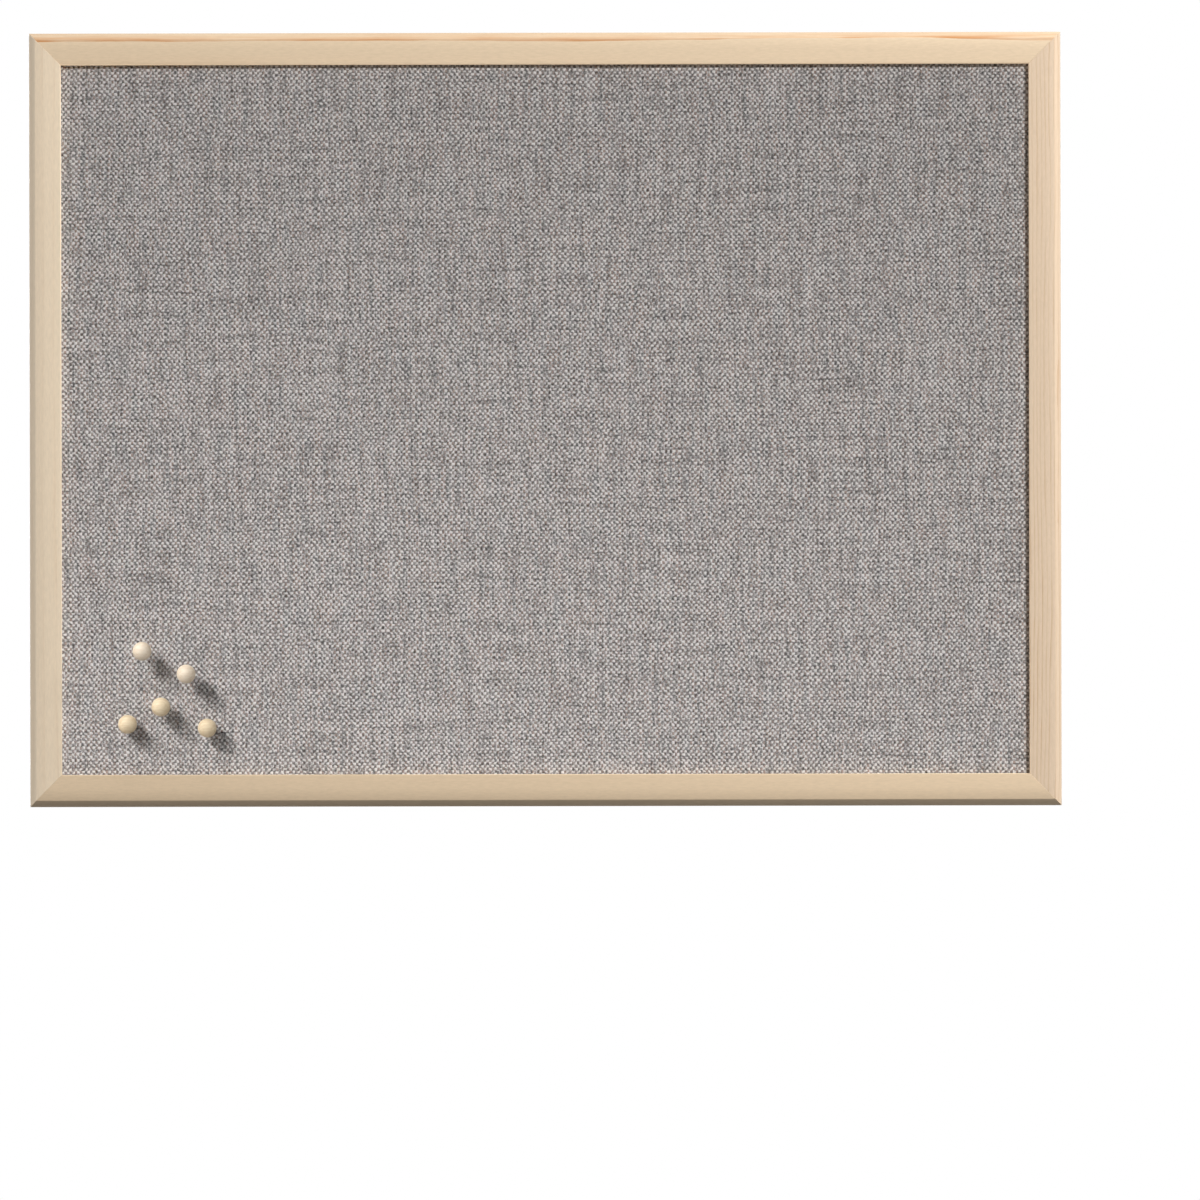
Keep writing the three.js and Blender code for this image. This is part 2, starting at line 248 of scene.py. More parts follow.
def tidy(piece, angle=30):
    """Merges doubles, points the faces outwards and smooths the gentle edges."""
    take(piece)
    bpy.ops.object.mode_set(mode="EDIT")
    bpy.ops.mesh.select_all(action="SELECT")
    bpy.ops.mesh.remove_doubles(threshold=same_place)
    face_outwards()
    bpy.ops.object.mode_set(mode="OBJECT")
    bpy.ops.object.shade_smooth_by_angle(angle=math.radians(angle))
    print(f"{piece.name}: {len(piece.data.polygons)} faces")
    return piece


finished = []


def finish(piece, node, body):
    """Hides the CAD node that a piece stands for, and says what the piece moves with."""
    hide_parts(node)
    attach(piece, body)
    finished.append(piece)
    open_edges = bmesh.new()
    open_edges.from_mesh(piece.data)
    loose = sum(1 for edge in open_edges.edges if len(edge.link_faces) != 2)
    volume = open_edges.calc_volume(signed=True) * 1e9
    open_edges.free()
    print(f"{piece.name}: {len(piece.data.polygons)} faces, {loose} open edges, {volume:.0f} mm3")


# %% [markdown]
# ## Sizes
# The frame's outline, the depths and the places of the small parts are read from the CAD nodes.
# What a CAD node can't tell, such as the width of the bevel on its moulding, is given here. The
# tools that cut slots and holes come out past the frame's back, so that they cut right through.

# %% Sizes of the frame
half_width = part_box("right_stile")[1].x
half_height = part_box("top_rail")[1].z
frame_front, frame_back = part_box("top_rail")[0].y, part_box("top_rail")[1].y
face_width = half_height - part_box("top_rail")[0].z
cloth_front, cloth_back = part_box("fabric_cover")[0].y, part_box("fabric_cover")[1].y
cutter_back = frame_back + 2 * MM
web_width = 10.5 * MM
lip_thickness = 4 * MM
bevel_width, bevel_depth = 3.8 * MM, 5 * MM
inner_round = 0.4 * MM
edge_ease = 0.25 * MM
mitre_gap = 0.02 * MM
mitre_arris = 0.1 * MM
drive_gap = 0.06 * MM
screw_hole = 1.5 * MM


def place_of(node):
    low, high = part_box(node)
    return (low + high) / 2


print("outline", [round(v / MM, 2) for v in (2 * half_width, 2 * half_height)])
print("depths", [round(v / MM, 2) for v in (frame_front, cloth_front, cloth_back, frame_back)])

# %% [markdown]
# ## The moulding
# The frame is made of one machined pine moulding: a stick of square wood with a wide bevel on its
# outer front edge and a rebate at the back, which leaves a lip over the panel. It could be drawn
# as an outline and extruded, but a moulding is planed out of a stick, so here a block is cut and
# planed in the same order: the lip is drawn out of the inner face, the bevel is sawn off, the
# edges are eased, and last the ends are mitred.

# %% Plane a length of moulding
def moulding(name, length):
    """A mitred length along x. Its outer face is at z = 0 and its front at the frame's front."""
    stick = block(name, (-length / 2, frame_front, -web_width), (length / 2, frame_back, 0))
    lip_back = frame_front + lip_thickness
    saw((0, lip_back, 0), (0, 1, 0), keep_both=True)
    pick("FACE", lambda f: f.normal.z < -0.9 and middle(f).y < lip_back)
    push(z=web_width - face_width)
    saw((0, frame_front + bevel_depth, 0), (0, -bevel_width, bevel_depth))
    at_lip = lambda e: near(middle(e).y, frame_front) and near(middle(e).z, -face_width)
    round_edges(inner_round, 4, lambda e: abs(direction(e).x) > 0.9 and at_lip(e))
    round_edges(edge_ease, 2, lambda e: abs(direction(e).x) > 0.99 and sharp(e))
    for end in (-1, 1):
        saw((end * (length - mitre_gap) / 2, 0, 0), (end, 0, -1))
    mitred = lambda face: abs(face.normal.x) > 0.6 and face.normal.z < -0.6
    at_mitre = lambda e: any(mitred(face) for face in e.link_faces)
    in_front = lambda e: middle(e).y < frame_front + bevel_depth / 2 + slack
    round_edges(mitre_arris, 1, lambda e: at_mitre(e) and in_front(e))
    return tidy(stick)


rail_stock = moulding("rail_stock", 2 * half_width)
stile_stock = moulding("stile_stock", 2 * half_height)

# %% [markdown]
# The four sides are the same two sticks, turned to their places. A side's outer face ends on the
# board's outline, so the turn is about the y axis and the move is outwards.

# %% Turn the sticks to the four sides
sides = {
    "top_rail": (rail_stock, 0.0, (0, 0, half_height)),
    "bottom_rail": (rail_stock, math.pi, (0, 0, -half_height)),
    "left_stile": (stile_stock, -math.pi / 2, (-half_width, 0, 0)),
    "right_stile": (stile_stock, math.pi / 2, (half_width, 0, 0)),
}
frame_sides = {}
for node, (stock, turn, place) in sides.items():
    move = Matrix.Translation(place) @ Matrix.Rotation(turn, 4, "Y")
    frame_sides[node] = copy(stock, f"{node}_pine", move)
scrap(rail_stock)
scrap(stile_stock)
print("sides:", ", ".join(frame_sides))

# %% [markdown]
# ## V-nails
# A picture framer joins each mitre from behind with V-nails: short strips of hard steel folded to
# a right angle and driven across the joint, so that they pull the two halves together. One is
# modelled as a leg, and the second leg is drawn out of its side. A thicker and deeper copy of it
# serves as the cutter for the slot that it sits in.

# %% Fold one V-nail
nail_thickness, nail_leg = 0.5 * MM, 4 * MM
ground_edge, stamped_edge = 0.16 * MM, 0.05 * MM


def v_nail(name, front, back, grow=0.0):
    """A V-nail with its fold at x = z = 0 and its legs towards -x and -z."""
    half = nail_thickness / 2 + grow
    reach = nail_leg + grow
    nail = block(name, (-reach, front, -half), (half, back, half))
    saw((-half, 0, 0), (1, 0, 0), keep_both=True)
    pick("FACE", lambda f: f.normal.z < -0.9 and middle(f).x > -half)
    push(z=half - reach)
    return nail


low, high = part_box("corner_nail_top_right_1")
nail = v_nail("v_nail", low.y, high.y)
in_front = sharp_at(low.y)
round_edges(ground_edge, 1, lambda e: in_front(e) and e.calc_length() > 2 * nail_thickness)
round_edges(stamped_edge, 1, sharp_at(high.y))
tidy(nail)
slot = tidy(v_nail("v_slot", low.y - drive_gap, cutter_back, drive_gap))

# %% [markdown]
# Each nail is a mirrored copy, because its fold points to the board's corner. The fold's place is
# read from the CAD node's box, whose outer corner lies half a thickness beyond it.

# %% Drive the nails
nails = {}
cutters = []
for across, up, corner in (
    (-1, 1, "top_left"),
    (1, 1, "top_right"),
    (-1, -1, "bottom_left"),
    (1, -1, "bottom_right"),
):
    for number in (1, 2):
        node = f"corner_nail_{corner}_{number}"
        low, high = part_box(node)
        fold_x = (high.x if across > 0 else low.x) - across * nail_thickness / 2
        fold_z = (high.z if up > 0 else low.z) - up * nail_thickness / 2
        move = Matrix.Translation((fold_x, 0, fold_z)) @ Matrix.Diagonal((across, 1, up, 1))
        nails[node] = copy(nail, f"{node}_steel", move)
        cutters.append(copy(slot, "slot_cutter", move))
scrap(nail)
scrap(slot)
print("V-nails:", len(nails))

# %% [markdown]
# ## Framer's points
# The panel and its hardboard back are held in by framer's points: flat steel darts shot into the
# rebate wall. They are stamped from strip, with a ground tip at one end and a small raised pip
# that stiffens them. One is shaped from a block: the tip is an extruded end that is squeezed
# narrow, and the pip is an inset face that is pushed up.

# %% Stamp one framer's point
low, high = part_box("framer_point_top_1")
point_half = (high - low) / 2
tip_length = 2.5 * MM
pip_start, pip_end = -4.5 * MM, -2 * MM
pip_margin, pip_slope, pip_height = 1 * MM, 0.25 * MM, 0.12 * MM
point_edge = 0.06 * MM
point = block("framer_point", -point_half, point_half - Vector((0, 0, tip_length)))
pick("FACE", lambda f: f.normal.z > 0.9)
push(z=tip_length)
squeeze((0, 0, 0), 0.06, 0.5)
for cut in (pip_start, pip_end):
    saw((0, 0, cut), (0, 0, 1), keep_both=True)
pick("FACE", lambda f: f.normal.y > 0.9 and pip_start < middle(f).z < pip_end)
for inwards in (pip_margin, pip_slope):
    bpy.ops.mesh.inset(thickness=inwards)
bpy.ops.transform.translate(value=(0, pip_height, 0))
round_edges(point_edge, 1, lambda e: sharp(e, 60))
tidy(point)

# %% Shoot the points into the four sides
points = {}
point_turns = {"top": 0.0, "bottom": math.pi, "left": -math.pi / 2, "right": math.pi / 2}
play = Vector((drive_gap, drive_gap, drive_gap))
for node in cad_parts:
    if node.startswith("framer_point_"):
        low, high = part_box(node)
        turn = Matrix.Rotation(point_turns[node.split("_")[2]], 4, "Y")
        points[node] = copy(point, f"{node}_steel", Matrix.Translation(place_of(node)) @ turn)
        cutters.append(block("slot_cutter", low - play, high + play))
scrap(point)
print("framer's points:", len(points))

# %% [markdown]
# ## Slots and pilot holes
# Steel that is driven into wood makes its own place. The cutters for all the nails, points and
# screws are joined into one, and each side of the frame is cut with it once.

# %% Cut the frame
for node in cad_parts:
    if node.startswith("hanger_screw_"):
        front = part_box(node)[0].y - drive_gap
        cutters.append(rod("slot_cutter", screw_hole, 20, place_of(node), front, cutter_back))
cutter = join(cutters)
for node, side in frame_sides.items():
    cut_out(side, cutter)
    tidy(side)
    finish(side, node, "board")
scrap(cutter)
for node, piece in {**nails, **points}.items():
    finish(piece, node, "board")

# %% [markdown]
# ## Hardboard back
# The back is a sheet of hardboard cut on a panel saw. Its edges are sharp, with only a little fuzz
# rubbed off, so a small bevel is enough; its pressed screen pattern is in its material.

# %% Saw the backing board
backing = block("backing_board_hardboard", *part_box("backing_board"))
round_edges(edge_ease, 2, sharp)
tidy(backing)
finish(backing, "backing_board", "board")

# %% [markdown]
# ## The cloth
# The cover is a rectangle of upholstery cloth. It is laid face down, the core is laid on it, and
# its edges are pulled over the core's sides and stuck down on the back as hems. It is stretched
# flat, so there is nothing for a cloth simulation to find. It is folded here as the upholsterer
# does it: the front is a fine grid, its rim is pulled back for the sides and drawn in for the
# hems, which meet in mitres at the corners.

# %% Fold the cloth
low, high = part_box("fabric_cover")
cover_size = high - low
cloth_thickness = 0.7 * MM
hem_width = 22 * MM
wrap_depth = cloth_back - cloth_front
fold_radius = 1.2 * MM
cloth = start(
    "fabric_cover_cloth",
    bpy.ops.mesh.primitive_grid_add,
    x_subdivisions=116,
    y_subdivisions=86,
    size=1,
    location=(0, cloth_front, 0),
    rotation=ALONG_Y,
    scale=(cover_size.x, cover_size.z, 1),
)
pick("EDGE", lambda e: e.is_boundary)
push(y=wrap_depth)
push()
squeeze((0, 0, 0), x=1 - 2 * hem_width / cover_size.x, z=1 - 2 * hem_width / cover_size.z)
round_edges(fold_radius, 3, lambda e: sharp(e, 60) and not e.is_boundary)
face_outwards()
leave_all()
print("cloth sheet:", len(cloth.data.polygons), "faces")

# %% [markdown]
# The weave has to follow the cloth over its folds, so the cloth gets a UV map that gives each
# corner's place on the flat cut, in metres. On the front that is simply x and z. Past the fold,
# the distance along the side, and then along the hem, is added.

# %% Map the cloth to its flat cut
def flat_place(along, half, depth, on_back):
    """The place on the flat cut of a point at this place across the cover and this depth."""
    beyond = max(0.0, depth)
    if on_back:
        beyond = wrap_depth + max(0.0, half - abs(along))
        return math.copysign(half + beyond, along)
    in_fold = near(abs(along), half, fold_radius + slack)
    return math.copysign(abs(along) + beyond, along) if in_fold else along


def map_to_cut(piece, map_name):
    uv = piece.data.uv_layers.new(name=map_name)
    half_x, half_z = cover_size.x / 2, cover_size.z / 2
    for face in piece.data.polygons:
        out = face.normal
        on_back = abs(out.y) > 0.7 and face.center.y > cloth_front + wrap_depth / 2
        sideways = half_x - abs(face.center.x) < half_z - abs(face.center.z)
        for corner in face.loop_indices:
            place = piece.data.vertices[piece.data.loops[corner].vertex_index].co
            depth = place.y - cloth_front
            u = flat_place(place.x, half_x, depth, on_back) if sideways else place.x
            v = place.z if sideways else flat_place(place.z, half_z, depth, on_back)
            uv.data[corner].uv = (u, v)


map_to_cut(cloth, "flat_cut")
reach = max(corner.uv.x for corner in cloth.data.uv_layers["flat_cut"].data)
print("the cut reaches", round(reach / MM, 1), "mm from its middle")

# %% [markdown]
# A push pin dents the cloth a little where it goes in, and it needs a hole in it. The cloth is
# divided more finely round each pin, the dent is drawn in with a soft falloff, and the sheet then
# gets its thickness, inwards from its face, before the holes are cut through it.

# %% Dent the cloth and give it its thickness
pin_places = {number: place_of(f"pin_needle_{number}") for number in range(1, 6)}
pin_hole = 0.62 * MM
fine_area = 9 * MM
punch_reach = 3 * MM
deepest_dent = 0.3 * MM
take(cloth)
bpy.ops.object.mode_set(mode="EDIT")


def from_pin(point):
    return min(math.hypot(point.x - p.x, point.z - p.z) for p in pin_places.values())


on_front = lambda place: near(place.y, cloth_front)
pick("FACE", lambda f: on_front(middle(f)) and from_pin(middle(f)) < fine_area)
bpy.ops.mesh.subdivide(number_cuts=4)
for reach, dent in ((3.2, 0.05), (2.3, 0.05), (1.5, 0.04)):
    in_dent = lambda v: near(v.co.y, cloth_front, deepest_dent) and from_pin(v.co) < reach * MM
    pick("VERT", in_dent)
    bpy.ops.transform.translate(value=(0, dent * MM, 0))
use(cloth, "SOLIDIFY", thickness=cloth_thickness, offset=-1, use_even_offset=True)
front, back = cloth_front - punch_reach, cloth_front + punch_reach
holes = [rod("pin_hole", pin_hole, 16, place, front, back) for place in pin_places.values()]
cut_holes(cloth, holes)
tidy(cloth, 50)
finish(cloth, "fabric_cover", "board")

# %% [markdown]
# ## Hanger straps
# A strap hanger is one strip of zinc-plated steel, folded round the bar of its D-ring and doubled
# back on itself, with two screw holes through both layers. It is bent here as the press bends it:
# a strip is drawn up, spun round the eye, drawn back to the first layer and down again, and then
# it gets its thickness.

# %% Fold one hanger strap
low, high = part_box("hanger_strap_left")
ring_low, ring_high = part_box("hanger_ring_left")
wire_radius = 0.9 * MM
eye = Vector(((low.x + high.x) / 2, (ring_low.y + ring_high.y) / 2, ring_low.z + wire_radius))
strap_steel = 0.6 * MM
strap_corner = 2.2 * MM
layer_gap = 0.03 * MM
strap_bottom = low.z
layer_1 = low.y + strap_steel / 2
layer_2 = layer_1 + strap_steel
strap = start(
    "hanger_strap_left_steel",
    bpy.ops.mesh.primitive_plane_add,
    size=1,
    location=(eye.x, layer_1, (strap_bottom + eye.z) / 2),
    rotation=ALONG_Y,
    scale=(high.x - low.x, eye.z - strap_bottom, 1),
)
level_at = lambda e, z: near(middle(e).z, z) and abs(direction(e).x) > 0.9
pick("EDGE", lambda e: level_at(e, eye.z))
bpy.ops.mesh.spin(steps=20, angle=math.radians(250), center=eye, axis=(1, 0, 0))
mesh = bmesh.from_edit_mesh(strap.data)
spun_end = middle(next(e for e in mesh.edges if e.select))
print("eye spun to", [round(v / MM, 2) for v in spun_end])
run_back = 3.74 * MM
run_back_end = eye.z - run_back
push(y=layer_2 - spun_end.y, z=run_back_end - spun_end.z)
push(z=strap_bottom - run_back_end)
round_edges(strap_steel, 3, lambda e: level_at(e, run_back_end))
face_outwards()
pick("VERT", lambda v: near(v.co.z, strap_bottom))
bpy.ops.mesh.bevel(offset=strap_corner, segments=6, affect="VERTICES")
use(strap, "SOLIDIFY", thickness=strap_steel - layer_gap, offset=0, use_even_offset=True)

# %% [markdown]
# The screw holes are punched through both layers at once, and the cut edges are tumbled in a
# drum, which leaves them a little soft.

# %% Punch and tumble the strap
tumbled_edge = 0.07 * MM
front, back = layer_2 - punch_reach, layer_2 + punch_reach
holes = []
for place in ("upper", "lower"):
    centre = place_of(f"hanger_screw_left_{place}")
    holes.append(rod("punch", screw_hole, 28, centre, front, back))
cut_holes(strap, holes)
cut_angle = math.radians(50)
use(strap, "BEVEL", width=tumbled_edge, segments=2, limit_method="ANGLE", angle_limit=cut_angle)
tidy(strap, 35)

# %% [markdown]
# ## D-rings
# A D-ring is bent from nickel-plated wire: a straight bar through the strap's eye, two tight
# bends, and a half circle. Half of it is drawn as a round wire section that is pushed and spun
# along that path, and a mirror makes the other half. The wire's two ends meet in the bar, inside
# the eye, where the real joint is hidden too.

# %% Bend one D-ring
ring_half_width = (ring_high.x - ring_low.x) / 2 - wire_radius
ring_bend = 1.2 * MM
ring_shoulder = ring_high.z - wire_radius - ring_half_width
ring = start(
    "hanger_ring_left_wire",
    bpy.ops.mesh.primitive_circle_add,
    vertices=20,
    radius=wire_radius,
    fill_type="NOTHING",
    location=eye,
    rotation=(0, math.pi / 2, 0),
)
bpy.ops.mesh.select_all(action="SELECT")
push(x=ring_half_width - ring_bend)
bend = eye + Vector((ring_half_width - ring_bend, 0, ring_bend))
bpy.ops.mesh.spin(steps=8, angle=math.radians(90), center=bend, axis=(0, 1, 0))
push(z=ring_shoulder - eye.z - ring_bend)
top = (eye.x, eye.y, ring_shoulder)
bpy.ops.mesh.spin(steps=18, angle=math.radians(90), center=top, axis=(0, 1, 0))
centre_mark = bpy.data.objects.new("ring_centre", None)
centre_mark.location = eye
bpy.context.scene.collection.objects.link(centre_mark)
bpy.context.view_layer.update()
use(
    ring,
    "MIRROR",
    use_axis=(True, False, False),
    mirror_object=centre_mark,
    use_mirror_merge=True,
    merge_threshold=10 * same_place,
)
scrap(centre_mark)
tidy(ring, 60)

# %% [markdown]
# ## Screws
# The straps are held by small pan-head wood screws with a cross recess. The head is turned from a
# disc, the recess is two tapered blades cut out of it, and the shank is pushed out ring by ring,
# wide and narrow in turn, to stand for the thread, which is hidden in the wood.

# %% Turn one screw
screw_middle = place_of("hanger_screw_left_upper")
screw_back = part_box("hanger_screw_left_upper")[1].y
head_radius = 2.5 * MM
head_round = 0.75 * MM
head_ease = 0.12 * MM
shank_radius = 1.0 * MM
head_height = plain_shank = 1.4 * MM
head_front = screw_back - head_height
screw = rod("hanger_screw_left_upper_steel", head_radius, 32, screw_middle, head_front, screw_back)
round_edges(head_round, 5, sharp_at(screw_back))
round_edges(head_ease, 2, sharp_at(head_front))
pick("FACE", lambda f: f.normal.y < -0.9)
bpy.ops.mesh.inset(thickness=head_radius - head_ease - shank_radius)
push(y=-plain_shank)
turns = 9
for turn in range(turns):
    taper = 1.0 if turn < turns - 2 else 0.62
    for widen, step in ((1.25 * taper, 0.3), (0.8, 0.3), (1.0, 0.35)):
        push(y=-step * MM)
        squeeze(screw_middle, widen, 1, widen)
leave_all()
print("screw length", round((head_front - min(v.co.y for v in screw.data.vertices)) / MM, 2), "mm")

# %% Cut the cross recess
blade_half = Vector((1.9, 0.9, 0.375)) * MM
recess = Matrix.Translation((screw_middle.x, screw_back, screw_middle.z))
for turn in (0.5, 0.5 + math.pi / 2):
    blade = block("blade", -blade_half, blade_half)
    pick("FACE", lambda f: f.normal.y < -0.9)
    squeeze((0, 0, 0), 0.35, z=0.6)
    leave_all()
    blade.data.transform(recess @ Matrix.Rotation(turn, 4, "Y"))
    cut_out(screw, blade)
    scrap(blade)
tidy(screw, 35)

# %% [markdown]
# The other strap, ring and screws are copies. The right hanger is the left one mirrored across the
# middle of the board, as a framer fits the same part on both sides.

# %% Fit the hangers
def fit_pair(left, node, bodies=("board", "board")):
    """Finishes a left piece, and its mirror image on the right of the board."""
    right = copy(left, left.name.replace("left", "right"), Matrix.Diagonal((-1, 1, 1, 1)))
    finish(left, f"{node}_left", bodies[0])
    finish(right, f"{node}_right", bodies[1])
    return left, right


straps = fit_pair(strap, "hanger_strap")
rings = fit_pair(ring, "hanger_ring", ("ring_left", "ring_right"))
screws = {"hanger_screw_left_upper": screw}
for number, place in enumerate(("left_lower", "right_upper", "right_lower"), start=1):
    node = f"hanger_screw_{place}"
    spin = Matrix.Rotation(0.7 * number, 4, "Y") @ Matrix.Translation(-screw_middle)
    screws[node] = copy(screw, f"{node}_steel", Matrix.Translation(place_of(node)) @ spin)
for node, piece in screws.items():
    finish(piece, node, "board")

# %% [markdown]
# ## Bumpers
# The rubber bumpers are moulded pads with a rounded shoulder and a slight hollow in the face,
# which helps them grip the wall. A disc is rounded over and its face is pushed in a little.

# %% Mould one bumper
low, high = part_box("bumper_left")
bumper_radius = (high.x - low.x) / 2
shoulder, foot_ease, rim = 0.85 * MM, 0.15 * MM, 1.2 * MM
bumper = rod("bumper_left_rubber", bumper_radius, 48, place_of("bumper_left"), low.y, high.y)
round_edges(shoulder, 6, sharp_at(high.y))
round_edges(foot_ease, 2, sharp_at(low.y))
pick("FACE", lambda f: f.normal.y > 0.9 and f.calc_area() > bumper_radius**2)
bpy.ops.mesh.inset(thickness=rim)
for step, sink in ((0.35, 0.1), (0.5, 0.12), (0.6, 0.06)):
    bpy.ops.mesh.inset(thickness=step * MM)
    bpy.ops.transform.translate(value=(0, -sink * MM, 0))
tidy(bumper, 40)
bumpers = fit_pair(bumper, "bumper")

# %% [markdown]
# ## Push pins
# A pin's ball is turned from wood on a lathe and drilled for its needle, and tumbled smooth. It is
# a sphere with the pole at its back opened to a ring, which is drawn in to make the drilled hole
# and closed at its end. The needle is drawn steel wire with a ground point.

# %% Turn and drill one ball
low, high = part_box("pin_ball_1")
ball_radius = (high.x - low.x) / 2
ball_middle = Vector(((low.x + high.x) / 2, low.y + ball_radius, (low.z + high.z) / 2))
ball = start(
    "pin_ball_1_wood",
    bpy.ops.mesh.primitive_uv_sphere_add,
    segments=48,
    ring_count=28,
    radius=ball_radius,
    location=ball_middle,
    rotation=ALONG_Y,
)
hole_ease, hole_depth = 0.25 * MM, 5 * MM
pick("VERT", lambda v: near(v.co.y, ball_middle.y + ball_radius))
bpy.ops.mesh.delete(type="VERT")
pick("EDGE", lambda e: e.is_boundary)
push(y=-hole_ease)
squeeze(ball_middle, 0.99, 1, 0.99)
push(y=-hole_depth)
bpy.ops.mesh.edge_face_add()
tidy(ball, 40)
print("ball", round(2 * ball_radius / MM, 2), "mm")

# %% Grind one needle
low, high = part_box("pin_needle_1")
needle_radius = 0.55 * MM
ground = 2.5 * MM
blunt_edge = 0.06 * MM
needle = rod("pin_needle_1_steel", needle_radius, 24, pin_places[1], low.y, high.y - ground)
pick("FACE", lambda f: f.normal.y > 0.9)
for part, share in ((0.12, 0.94), (0.84, 0.12), (0.04, 0.3)):
    push(y=ground * part)
    squeeze(pin_places[1], share, 1, share)
round_edges(blunt_edge, 1, sharp_at(low.y))
tidy(needle, 40)

# %% [markdown]
# The five pins are copies, each at its CAD place. A tumbled ball sits on its needle with its grain
# any way round, so each copy is also turned about the needle.

# %% Push in the pins
balls = []
needles = []
for number in range(1, 6):
    move = Matrix.Translation(pin_places[number] - pin_places[1])
    about = Matrix.Translation(ball_middle) @ Matrix.Rotation(1.3 * number, 4, "Y")
    turned = about @ Matrix.Translation(-ball_middle)
    balls.append(copy(ball, f"pin_ball_{number}_turned", move @ turned))
    needles.append(copy(needle, f"pin_needle_{number}_ground", move))
    finish(balls[-1], f"pin_ball_{number}", f"pin_{number}")
    finish(needles[-1], f"pin_needle_{number}", f"pin_{number}")
scrap(ball)
scrap(needle)

# %% [markdown]
# ## Materials
# A material is a small network of nodes. Colours are written as sRGB hex values, as a colour
# picker shows them, and one function turns them to the linear values that a shader works with.
# One more function adds a node, with its settings and its inputs, which are numbers or links. A
# Map Range node's inputs are its value, the range it comes from and the range it is taken to. The
# scale of a noise is how many of its grains fit in a metre, so it is worked out from their size.

# %% Colours and nodes
MIX_COLOURS = {"output": "Result", "data_type": "RGBA"}


def linear(colour):
    """The linear red, green, blue and alpha of an sRGB hex colour such as 'ddc6a4'."""
    parts = [int(colour[i : i + 2], 16) / 255 for i in (0, 2, 4)]
    return [c / 12.92 if c <= 0.04045 else ((c + 0.055) / 1.055) ** 2.4 for c in parts] + [1.0]


def add(tree, kind, inputs=(), output=0, **settings):
    """Adds a node. Its inputs are numbers, or other nodes' outputs. It gives back one output."""
    node = tree.nodes.new("ShaderNode" + kind)
    for key, value in settings.items():
        setattr(node, key, value)
    for key, value in inputs.items() if isinstance(inputs, dict) else enumerate(inputs):
        if isinstance(value, bpy.types.NodeSocket):
            tree.links.new(value, node.inputs[key])
        else:
            node.inputs[key].default_value = value
    return node.outputs[output]


def per(size):
    """The scale of a pattern whose grains or steps are this many millimetres wide."""
    return 1 / (size * MM)


def new_finish(name, **constants):
    """A material with one main shader. Constants go to the shader's own sockets."""
    material = bpy.data.materials.new(name)
    material.use_nodes = True
    tree = material.node_tree
    shader = tree.nodes["Principled BSDF"]
    for key, value in constants.items():
        shader.inputs[key.replace("_", " ")].default_value = value
    return material, tree, shader


def give(shader, **results):
    """Links what the nodes worked out to the shader's sockets."""
    for key, result in results.items():
        shader.id_data.links.new(result, shader.inputs[key.replace("_", " ")])


def cover(material, *pieces):
    for piece in pieces:
        piece.data.materials.clear()
        piece.data.materials.append(material)
    print(f"{material.name}: {len(material.node_tree.nodes)} nodes, pieces: {len(pieces)}")
